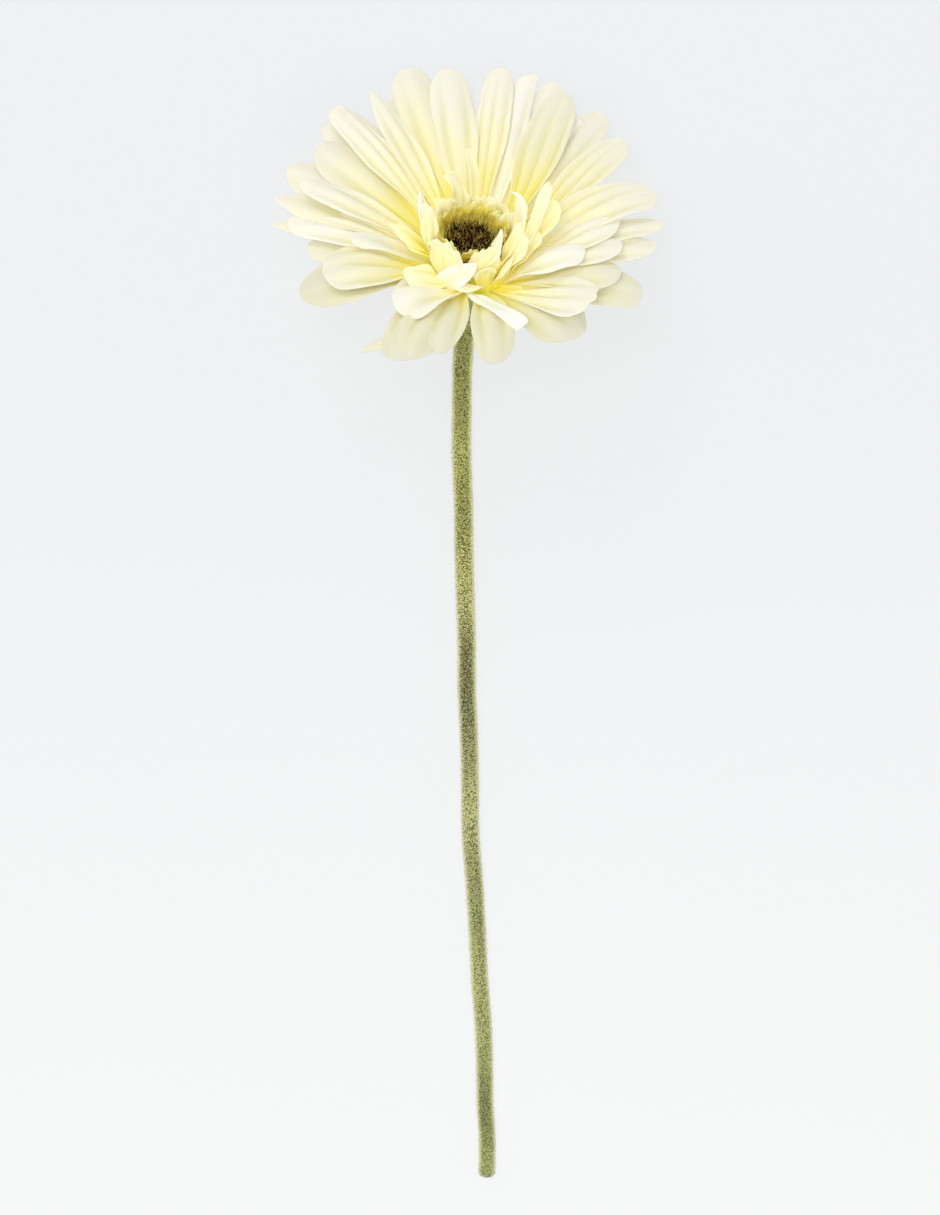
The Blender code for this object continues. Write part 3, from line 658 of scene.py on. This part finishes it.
def spine(petal, root, t):
    """Points, sideways directions and face normals of the middle line at each share t."""
    root_radius, root_height = root
    up_face = (petal.along - petal.lift * math.sin(FACE_TILT)) / math.cos(FACE_TILT)
    tip = np.array([petal.across, up_face, petal.lift]) * MM
    angle = math.atan2(tip[1], tip[0]) + math.radians(petal.swing)
    outward = np.array([math.cos(angle), math.sin(angle), 0.0])
    start = outward * root_radius + UP * root_height
    chord = tip - start
    length = np.linalg.norm(chord)
    flat = chord * [1, 1, 0]
    level = unit(flat) if np.linalg.norm(flat) > 3 * MM else outward
    slope = math.asin(chord[2] / length)
    leaving = slope + math.radians(petal.rise)
    arriving = slope - math.radians(petal.droop)
    reach = 0.36 * length
    first = start + reach * (outward * math.cos(leaving) + UP * math.sin(leaving))
    second = tip - reach * (level * math.cos(arriving) + UP * math.sin(arriving))
    t = t[..., None]
    u = 1 - t
    points = u**3 * start + 3 * u * u * t * first + 3 * u * t * t * second + t**3 * tip
    ways = unit(u * u * (first - start) + 2 * u * t * (second - first) + t * t * (tip - second))
    side = np.cross(UP, unit(outward * u + unit(tip * [1, 1, 0]) * t))
    side = unit(side - (ways * side).sum(axis=-1, keepdims=True) * ways)
    return points, side, np.cross(ways, side), length


def half_width(petal, t, root_share):
    """Half the petal's width at each share t of its length."""
    opening = root_share + (1 - root_share) * ease(t / WIDEST)
    past = np.clip((t - WIDEST) / (1 - WIDEST), 0.0, 1.0)
    narrowing = 1 - (0.12 + 0.25 * petal.point) * past**2
    return 0.5 * petal.width * MM * opening * narrowing


def petal_grid(petal, root, root_share, shape, random):
    """The petal's middle surface: a channelled strap with ridges, ruffled edges and a shaped tip.

    After it come the shares along and across, and how near each point is to a ridge's top.
    """
    rows, columns = shape
    share = np.sin(np.linspace(0, math.pi / 2, rows)) ** 0.85
    turn = np.linspace(-math.pi / 2, math.pi / 2, columns)
    u = (0.25 * turn / (math.pi / 2) + 0.75 * np.sin(turn))[None, :]

    # the tip's outline, as what it takes off the petal's length
    length = spine(petal, root, np.array([0.5]))[3]
    corner = petal.blunt * (1 + 0.9 * petal.point) * 0.44 * petal.width * MM / length
    squareness = 2.2 - 0.7 * petal.point
    rounding = corner * (1 - np.clip(1 - abs(u) ** squareness, 0, 1) ** (1 / squareness))
    teeth = (1 + np.cos(math.pi * petal.teeth * (u + 1))) / 2 if petal.teeth else 0 * u
    notch = petal.tooth * MM / length * teeth
    pull = rounding + notch * (1 - u**8) - petal.slant * u * MM / length
    t = share[:, None] * (1 - pull * share[:, None] ** 3)

    # the strap, turned about its length
    points, side, face, length = spine(petal, root, np.clip(t, 0, 1.03))
    roll = math.radians(petal.roll) * ease(t * 1.6) + math.radians(petal.twist) * t**2
    cos, sin = np.cos(roll)[..., None], np.sin(roll)[..., None]
    side, face = side * cos + face * sin, face * cos - side * sin
    half = half_width(petal, t, root_share)
    curl = petal.curl + (petal.tip_curl - petal.curl) * ease(t * 1.1)
    curl = curl * (1 + random.uniform(-0.2, 0.2)) + 1e-3
    sideways = half * np.sin(curl * u) / curl
    arch = half * (1 - np.cos(curl * u)) / curl - 0.2 * half * np.sin(curl)

    # ridges that fade at both ends, a ruffle along the edges, shallow dents and a turned end
    lean = random.uniform(-0.6, 0.6) * (1 - u * u) + random.uniform(-0.5, 0.5) * u * (1 - u * u)
    crest = (-1) ** petal.waves * np.cos(petal.waves * math.pi * u + lean)
    fade = ease(t / 0.3) * (1 - 0.8 * ease((t - 0.55) / 0.45))
    crest = crest * fade
    ridges = petal.ridge * MM * crest * half / (3.8 * MM)
    waves_along = random.uniform(1.2, 2.1) * t + random.random() + 0.25 * np.sign(u)
    ripple = petal.ruffle * MM * abs(u) ** 3 * ease(t * 1.5) * np.sin(2 * math.pi * waves_along)
    dents = random.uniform(0.15, 0.4) * MM * np.sin(5 * t + 2.2 * u + random.uniform(0, 6)) * fade
    flick = petal.flick * MM * np.maximum(t - 0.65, 0) ** 2 / 0.35**2
    sway = petal.sway * MM * np.sin(math.pi * t)
    raised = arch + ridges + ripple + dents + flick
    grid = points + side * (sideways + sway)[..., None] + face * raised[..., None]
    return grid, t, np.broadcast_to(u, t.shape), 0.5 + 0.5 * crest


def petal_row(label, row, root, cut, finish, node, random):
    """A row of petals, each a piece of its own."""
    shape, root_share, thickness = cut
    for number, petal in enumerate(row):
        foot = UPPER_ROOT if petal.outside else root
        grid, *marks = petal_grid(petal, foot, root_share, shape, random)
        points, faces, origin = thin_solid(grid, thickness)
        points = out_of_bloom(points)
        marks = {name: mark.ravel()[origin] for name, mark in zip(("along", "across", "crest"), marks)}
        tone = np.full(len(points), 0.5 + 0.4 * petal.white + random.uniform(-0.1, 0.1))
        new_piece(f"{label}_{number:02d}", points, faces, finish, node, **marks, tone=tone)


def petals():
    """Both rows of rays and the inner petals, in their own skins."""
    random = np.random.default_rng(SEED)
    ray = petal_finish(
        "ray_skin", deep=(0.98, 0.89, 0.11), root=(0.975, 0.90, 0.31), middle=(0.93, 0.87, 0.52),
        tip=(0.85, 0.83, 0.70), painted_shade_share=0.12
    )
    inner = petal_finish(
        "inner_skin", deep=(0.98, 0.89, 0.09), root=(0.985, 0.91, 0.21), middle=(0.985, 0.925, 0.42),
        tip=(0.97, 0.925, 0.60), painted_shade_share=0.0
    )
    lower = petal_finish(
        "lower_skin", deep=(0.98, 0.89, 0.10), root=(0.975, 0.90, 0.30), middle=(0.94, 0.88, 0.55),
        tip=(0.84, 0.82, 0.68), painted_shade_share=0.16
    )
    petal_row("lower_ray", LOWER_RAYS, LOWER_ROOT, RAY_CUT, lower, "ray_petals", random)
    petal_row("upper_ray", UPPER_RAYS, UPPER_ROOT, RAY_CUT, ray, "ray_petals", random)
    petal_row("inner_petal", INNER_PETALS, INNER_ROOT, INNER_CUT, inner, "inner_petals", random)


# Radius and height of the solids turned about the head's axis, in millimetres
RAY_BASE = [(0, 0.3), (13.6, 0.3), (14.1, 0.9), (14.1, 2.9), (13.6, 3.5), (0, 3.5)]
INNER_BASE = [(0, 3.5), (12.2, 3.5), (12.6, 4.2), (12.5, 8.8), (12.0, 9.6), (0, 9.6)]
PLATE = [(0, 9.9), (10.0, 9.9), (10.4, 10.3), (10.4, 11.1), (10.0, 11.4), (0, 11.4)]
DOME = [(0, 11.3), (6.2, 11.3), (6.6, 12.0), (6.5, 12.8), (5.6, 13.3), (3.6, 13.7), (0, 13.9)]


def receptacle():
    """The grown-together bases that the two sets of petals rise from."""
    skin = receptacle_finish()
    for name, profile in (("ray", RAY_BASE), ("inner", INNER_BASE)):
        points, faces = turned(np.array(profile) * MM)
        new_piece(f"{name}_base", out_of_bloom(points), faces, skin, f"{name}_petals")


# Disc


@dataclass
class Ring:
    """A ring of florets, with lengths in millimetres."""

    name: str
    count: int
    radius: float
    height: float
    width: float
    lean: float  # how far a tip stands out from its foot
    teeth: int
    paleness: float  # 1 where the tips are cream


RINGS = [
    Ring("ring_inner", 18, 9.2, 5.4, 3.6, lean=1.2, teeth=2, paleness=0.62),
    Ring("ring_middle", 14, 9.7, 6.8, 5.0, lean=1.8, teeth=3, paleness=0.8),
    Ring("ring_outer", 11, 10.0, 8.2, 6.6, lean=2.4, teeth=4, paleness=1.0),
]


def floret_grid(ring, angle, random):
    """A small upright lobe of the ring: hollow towards the disc and notched at its tip."""
    radius = ring.radius * MM + random.uniform(-0.3, 0.3) * MM
    height = ring.height * MM * random.uniform(0.75, 1.12)
    width = ring.width * MM * random.uniform(0.8, 1.2)
    lean = ring.lean * MM * random.uniform(0.2, 1.5)
    v = np.linspace(0, 1, 13)[:, None]
    u = np.linspace(-1, 1, 13)[None, :]
    notch = 0.16 * (1 + np.cos(math.pi * ring.teeth * (u + 1) + random.uniform(-0.5, 0.5))) / 2
    v = v * (1 - (notch + 0.35 * abs(u) ** 2.5 + random.uniform(-0.1, 0.1) * u) * v**2)
    out = radius + lean * v**1.5 - 0.25 * width * (1 - u * u) * (1 - 0.6 * v)
    across = 0.5 * width * u * (0.7 + 0.45 * np.sin(math.pi * np.clip(v * 0.75, 0, 1)))
    twist = angle + random.uniform(-0.5, 0.5) * v * 0.05
    cos, sin = np.cos(twist), np.sin(twist)
    out = out + 0.06 * width * np.sin(9 * v + 3 * u + random.uniform(0, 6))
    grid = np.stack([out * cos - across * sin, out * sin + across * cos, height * v], axis=-1)
    return grid + UP * (PLATE_TOP - 0.4 * MM), ring.paleness * v, u


def ring_of_florets(ring, finish, random):
    """One ring's lobes, with their feet in the plate."""
    straps = []
    for k in range(ring.count):
        angle = 2 * math.pi * (k + random.uniform(-0.25, 0.25)) / ring.count
        straps.append((*floret_grid(ring, angle, random), random.random()))
    bundle(ring.name, straps, FLORET_THICKNESS, finish, "disc_ring")


def bristles(name, finish, node, random, count, middle, reach, foot, lengths, lean, stray, bend):
    """A brush of fine bristles between two radii, with an uneven edge.

    reach, foot, lengths and bend are in millimetres. lean is how far the outermost bristles
    lean out. The ring's brush leaves out the feet that the dark centre takes.
    """
    inner, outer = reach
    angle = GOLDEN_ANGLE * np.arange(count)
    share = np.sqrt(inner**2 + (outer**2 - inner**2) * (np.arange(count) + 0.5) / count) / outer
    uneven = 1 + 0.06 * np.sin(3 * angle + 1) + 0.05 * np.sin(8 * angle)
    outward = np.stack([np.cos(angle), np.sin(angle), np.zeros(count)], axis=1)
    feet = outward * (outer * share * uneven * MM)[:, None] + [*middle, foot * MM]
    if inner:
        free = np.linalg.norm(feet[:, :2] - DARK_MIDDLE, axis=1) > DARK_RADIUS * 0.93
        feet, outward, share, count = feet[free], outward[free], share[free], free.sum()
    ways = unit(outward * (lean * share)[:, None] + UP + random.normal(0, stray, (count, 3)))
    long = random.uniform(*lengths, count) * MM
    radii = random.uniform(*BRISTLE_RADII, count) * MM
    points, faces, along = spikes(feet, ways, long, radii, random.normal(0, bend, (count, 3)) * MM)
    tone = np.repeat(random.random(count), points.shape[1])
    along = along * BRISTLE_PALENESS
    new_piece(name, out_of_bloom(points), faces, finish, node, along=along, tone=tone)


def disc():
    """The dark brush on its dome, and the ring's brush and lobes on their plate."""
    random = np.random.default_rng(SEED + 1)
    dark = bristle_finish()
    ochre = ochre_finish()
    points, faces = turned(np.array(DOME) * MM)
    dome = out_of_bloom(points + [*DARK_MIDDLE, 0])
    new_piece("centre_dome", dome, faces, dark, "disc_centre", along=[0.2] * len(points))
    bristles(
        "centre_bristles", dark, "disc_centre", random, count=1500, middle=DARK_MIDDLE,
        reach=(0, DARK_RADIUS / MM), foot=13.0, lengths=(1.2, 3.4), lean=0.2, stray=0.42, bend=0.8
    )
    points, faces = turned(np.array(PLATE) * MM)
    plate = out_of_bloom(points)
    new_piece("disc_plate", plate, faces, ochre, "disc_ring", along=[0.3] * len(points))
    bristles(
        "ring_brush", ochre, "disc_ring", random, count=2600, middle=(0, 0),
        reach=(4.6, 9.9), foot=11.2, lengths=(2.6, 4.8), lean=0.5, stray=0.25, bend=0.5
    )
    for ring in RINGS:
        ring_of_florets(ring, ochre, random)


# Calyx

# Radius and depth as shares of the calyx's, from the stem's seat to the top
CALYX_OUTLINE = [
    (0.0, 1.0), (0.30, 1.0), (0.36, 0.98), (0.42, 0.94), (0.66, 0.77), (0.86, 0.52), (0.98, 0.22),
    (1.0, 0.0), (0.0, 0.0),
]
# Bracts of each row, depths of their feet and tips, and their start as a share of a bract's turn
BRACT_ROWS = [(13, 0.94, 0.40, 0.0), (16, 0.76, 0.14, 0.5), (20, 0.52, -0.05, 0.25)]
BRACT_WIDTH = 3.7
CUP_HAIRS = 5000


def bract_grid(foot, tip, angle, width, stand_off):
    """A lance-shaped bract that lies on the cup and stands off at its tip, in millimetres."""
    t = np.linspace(0, 1, 18)
    below = foot + (tip - foot) * t
    outline = np.array(CALYX_OUTLINE[1:-1])
    radius = CALYX_RADIUS * np.interp(below, outline[::-1, 1], outline[::-1, 0])
    radius = radius + (0.2 + stand_off * t**3) * MM
    swelling = 0.55 + 0.45 * np.sin(math.pi * np.clip(t * 1.15, 0, 1))
    half = 0.5 * width * MM * swelling * (1 - t**2.6) + 0.05 * MM
    u = np.linspace(-1, 1, 11)
    turn = angle + half[:, None] * u / radius[:, None]
    keel = radius[:, None] + (0.7 * (1 - u * u) * (1 - 0.6 * t[:, None]) - 0.1) * MM
    height = np.broadcast_to((-CALYX_HEIGHT * below)[:, None], turn.shape)
    return np.stack([keel * np.cos(turn), keel * np.sin(turn), height], axis=-1), t[:, None], u


def cup_fuzz(profile, random):
    """Fine hairs all over the cup and its bracts."""
    count = CUP_HAIRS
    spot = random.uniform(0, 2 * math.pi, count)
    radial = np.stack([np.cos(spot), np.sin(spot), np.zeros(count)], axis=1)
    height = random.uniform(profile[:, 1].min(), -0.5 * MM, count)
    reach = np.interp(height, profile[:, 1], profile[:, 0])
    feet = radial * (reach + 0.3 * MM)[:, None] + UP * height[:, None]
    down = (height / profile[:, 1].min())[:, None] ** 3
    ways = unit(radial - UP * down * 0.8 + random.normal(0, 0.35, (count, 3)))
    points, faces, along = hairs(feet, ways, random.uniform(0.5, 1.1, count) * MM)
    tone = np.repeat(random.random(count), points.shape[1])
    new_piece("calyx_fuzz", out_of_bloom(points), faces, fur_finish(), "calyx", along=along, tone=tone)


def calyx():
    """The green cup under the head, its hairs and its three rows of bracts."""
    random = np.random.default_rng(SEED + 2)
    skin = stem_finish("calyx_skin", (0.20, 0.27, 0.06), (0.40, 0.47, 0.14), (0.62, 0.66, 0.30))
    outline = np.array(CALYX_OUTLINE) * [CALYX_RADIUS, -CALYX_HEIGHT]
    profile = np.vstack([outline[:1], rounded(outline[1:-1]), outline[-1:]])
    points, faces = turned(profile)
    halfway = [0.5] * len(points)
    new_piece("calyx_cup", out_of_bloom(points), faces, skin, "calyx", top=halfway, down=halfway)
    cup_fuzz(profile, random)
    leaf = bract_finish()
    for row, (count, foot, tip, start) in enumerate(BRACT_ROWS):
        straps = []
        for i in range(count):
            angle = 2 * math.pi * (i + start) / count + random.normal(0, 0.03)
            reach = tip + random.uniform(-0.05, 0.05)
            width = BRACT_WIDTH + random.uniform(-0.4, 0.5)
            marked_grid = bract_grid(foot, reach, angle, width, random.uniform(0.8, 2.2))
            straps.append((*marked_grid, random.random()))
        bundle(f"bracts_{row}", straps, BRACT_THICKNESS, leaf, "calyx")


# Stem

STEM_SIDES = 48
STEM_HAIRS = 11000
HAIR_DEPTH = 0.08 * MM  # how far the hairs' feet are below the skin
SEAT_DEPTH = 1.0 * MM  # how far the stem reaches into the calyx
NECK_STEPS = 30
LYING_STEPS = 260
END_STEPS = 8
# Radius in millimetres at shares of the stem's length, from the head
STEM_RADII = [(0.0, 3.2), (0.14, 3.1), (0.4, 2.9), (1.0, 2.6)]
# Points that the stem passes over, in millimetres across and along, from the head
STEM_ROUTE = [
    (-1.2, 65.8), (-1.3, 53.8), (-0.7, 37.8), (-0.5, 21.8), (-0.1, 6.8), (0.3, -6.2), (0.4, -21.2),
    (1.1, -37.2), (1.4, -52.2), (1.5, -65.2), (2.7, -81.2), (3.6, -96.2), (4.4, -112.2),
    (5.6, -128.2), (6.0, -142.2), (6.1, -151.2), (6.8, -163.2), (6.7, -172.0),
]


def route_across(y):
    """How far across the stem lies at y: a smooth curve through its route's points."""
    known_x, known_y = (np.array(STEM_ROUTE[::-1]) * MM).T
    slope = np.gradient(known_x, known_y)
    i = np.clip(np.searchsorted(known_y, y) - 1, 0, len(known_y) - 2)
    step = known_y[i + 1] - known_y[i]
    t = np.clip((y - known_y[i]) / step, 0.0, 1.0)
    h = ease(t)
    bend = t * (1 - t) ** 2 * slope[i] - t * t * (1 - t) * slope[i + 1]
    return known_x[i] * (1 - h) + known_x[i + 1] * h + bend * step


def stem_line():
    """Points along the stem's middle, from the calyx to the cut end, and its radius at each."""
    axis = np.array([0.0, math.sin(FACE_TILT), math.cos(FACE_TILT)])
    seat = BLOOM_CENTRE - axis * (CALYX_HEIGHT - SEAT_DEPTH)
    lying = STEM_RADII[1][1] * MM
    bend_angle = math.pi / 2 - FACE_TILT
    bend_radius = (seat[2] - lying) / (1 - math.cos(bend_angle))
    bend_start = seat[1] - bend_radius * math.sin(bend_angle)
    share = np.linspace(1, 0, NECK_STEPS + 1)
    neck_y = bend_start + bend_radius * np.sin(bend_angle * share)
    neck_z = lying + bend_radius * (1 - np.cos(bend_angle * share))
    neck_x = route_across(neck_y)
    neck_x = neck_x + (seat[0] - neck_x) * share**3
    lying_y = np.linspace(bend_start, STEM_ROUTE[-1][1] * MM, LYING_STEPS + 1)[1:]
    neck = np.column_stack([neck_x, neck_y, neck_z])
    along = np.column_stack([route_across(lying_y), lying_y, np.full(LYING_STEPS, lying)])
    points = np.vstack([neck, along])
    steps = np.linalg.norm(np.diff(points, axis=0), axis=1)
    distance = np.concatenate([[0], np.cumsum(steps)]) / steps.sum()
    radii = np.interp(distance, *zip(*STEM_RADII)) * MM
    on_floor = slice(-LYING_STEPS - 1, None)
    points[on_floor, 2] = radii[on_floor]
    return points, radii


def stem():
    """The lying stem with its bent neck and rounded end, and the hairs on it."""
    random = np.random.default_rng(SEED + 3)
    points, radii = stem_line()
    ways = unit(np.gradient(points, axis=0))
    end, end_way, end_radius = points[-1], ways[-1], radii[-1]
    for turn in np.linspace(0, math.pi / 2, END_STEPS + 1)[1:-1]:
        points = np.vstack([points, end + end_way * math.sin(turn) * end_radius])
        ways = np.vstack([ways, end_way])
        radii = np.append(radii, end_radius * math.cos(turn))
    side = unit(np.cross(ways, UP))
    up = np.cross(side, ways)
    sides = STEM_SIDES
    angle = 2 * math.pi * np.arange(sides) / sides
    around = side[:, None] * np.cos(angle)[:, None] + up[:, None] * np.sin(angle)[:, None]
    verts = points[:, None] + radii[:, None, None] * around
    rows = len(points)
    faces = [tuple(reversed(range(sides))), tuple((rows - 1) * sides + k for k in range(sides))]
    for i in range(rows - 1):
        for k in range(sides):
            n = (k + 1) % sides
            a, b = i * sides, (i + 1) * sides
            faces.append((a + k, a + n, b + n, b + k))
    skin = stem_finish("stem_skin", (0.15, 0.15, 0.045), (0.60, 0.58, 0.23), (0.88, 0.86, 0.55))
    # how far the skin faces up, which places its painted sheen and painted shade
    top = np.broadcast_to(np.sin(angle), verts.shape[:2])
    down = np.broadcast_to(np.linspace(0, 1, rows)[:, None], verts.shape[:2])
    new_piece("stem_rod", verts, faces, skin, "stem", top=top, down=down)
    count = STEM_HAIRS
    row = random.integers(0, rows - 2, count)
    spot = random.uniform(0, 2 * math.pi, count)
    out = side[row] * np.cos(spot)[:, None] + up[row] * np.sin(spot)[:, None]
    shift = random.random(count)[:, None]
    middle = points[row] * (1 - shift) + points[row + 1] * shift
    feet = middle + out * (radii[row] - HAIR_DEPTH)[:, None]
    leaning = unit(out + random.normal(0, 0.3, (count, 3)))
    fuzz, fuzz_faces, along = hairs(feet, leaning, random.uniform(0.35, 0.75, count) * MM)
    fuzz[..., 2] = np.maximum(fuzz[..., 2], cad_box[0][2])
    tone = np.repeat(random.random(count), fuzz.shape[1])
    new_piece("stem_fuzz", fuzz, fuzz_faces, fur_finish(), "stem", along=along, tone=tone)


# Room, light and camera

FLOOR_REACH = 8.0
ROOM_STRENGTH = 0.6
LIGHT_BOUNCES = 24  # pale petals pass light on to each other many times over
LIGHT_AIM = (0, 0.05, 0)
# Each soft light's place, width and height, and power
SOFTBOXES = {
    "front_softbox": ((-0.3, 0.2, 1.95), (0.9, 0.9), 12.0),
    "top_softbox": ((-0.5, 1.5, 1.3), (0.8, 0.6), 7.5),
    "low_fill": ((0.2, -1.2, 1.3), (1.1, 0.7), 6.5),
    "left_softbox": ((-1.6, 0.3, 0.8), (1.0, 1.0), 2.6),
    "right_softbox": ((1.6, 0.1, 0.7), (1.0, 1.0), 2.2),
}
PICTURE_HEIGHT = 1215
PIXELS_PER_MM = 3.181
PICTURE_MIDDLE = BLOOM_CENTRE[:2] - (0.8 * MM, 104.9 * MM)
CAMERA_HEIGHT = 1.8


def area_light(name, at, size, power):
    """A rectangular light that looks at the head."""
    lamp = bpy.data.lights.new(name, "AREA")
    lamp.shape = "RECTANGLE"
    lamp.size, lamp.size_y = size
    lamp.energy = power
    light = bpy.data.objects.new(name, lamp)
    bpy.context.scene.collection.objects.link(light)
    light.location = at
    way = Vector(np.array(LIGHT_AIM, float) - np.array(at, float))
    light.rotation_euler = way.to_track_quat("-Z", "Y").to_euler()


def studio():
    """A pale floor that the flower lies on, soft lights and an even room."""
    mesh = bpy.data.meshes.new("floor")
    r, height = FLOOR_REACH, cad_box[0][2]
    corners = [(-r, -r, height), (r, -r, height), (r, r, height), (-r, r, height)]
    mesh.from_pydata(corners, [], [(0, 1, 2, 3)])
    mesh.materials.append(floor_finish())
    floor = bpy.data.objects.new("floor", mesh)
    bpy.context.scene.collection.objects.link(floor)
    for name, (at, size, power) in SOFTBOXES.items():
        area_light(name, at, size, power)
    world = bpy.data.worlds.new("soft_room")
    world.use_nodes = True
    background = world.node_tree.nodes["Background"]
    background.inputs["Color"].default_value = (1.0, 1.0, 1.0, 1.0)
    background.inputs["Strength"].default_value = ROOM_STRENGTH
    bpy.context.scene.world = world
    bpy.context.scene.cycles.max_bounces = LIGHT_BOUNCES
    bpy.context.scene.cycles.diffuse_bounces = LIGHT_BOUNCES


def camera():
    """Straight above, with the photograph's framing: its up is the floor's +Y."""
    lens = bpy.data.cameras.new("above")
    lens.sensor_fit = "VERTICAL"
    lens.sensor_height = 36.0
    lens.lens = PIXELS_PER_MM / MM * CAMERA_HEIGHT * lens.sensor_height / PICTURE_HEIGHT
    view = bpy.data.objects.new("above", lens)
    bpy.context.scene.collection.objects.link(view)
    view.location = (*PICTURE_MIDDLE, CAMERA_HEIGHT)
    bpy.context.scene.camera = view
    bpy.context.scene.view_settings.view_transform = "Standard"


camera()
studio()
petals()
receptacle()
disc()
calyx()
stem()
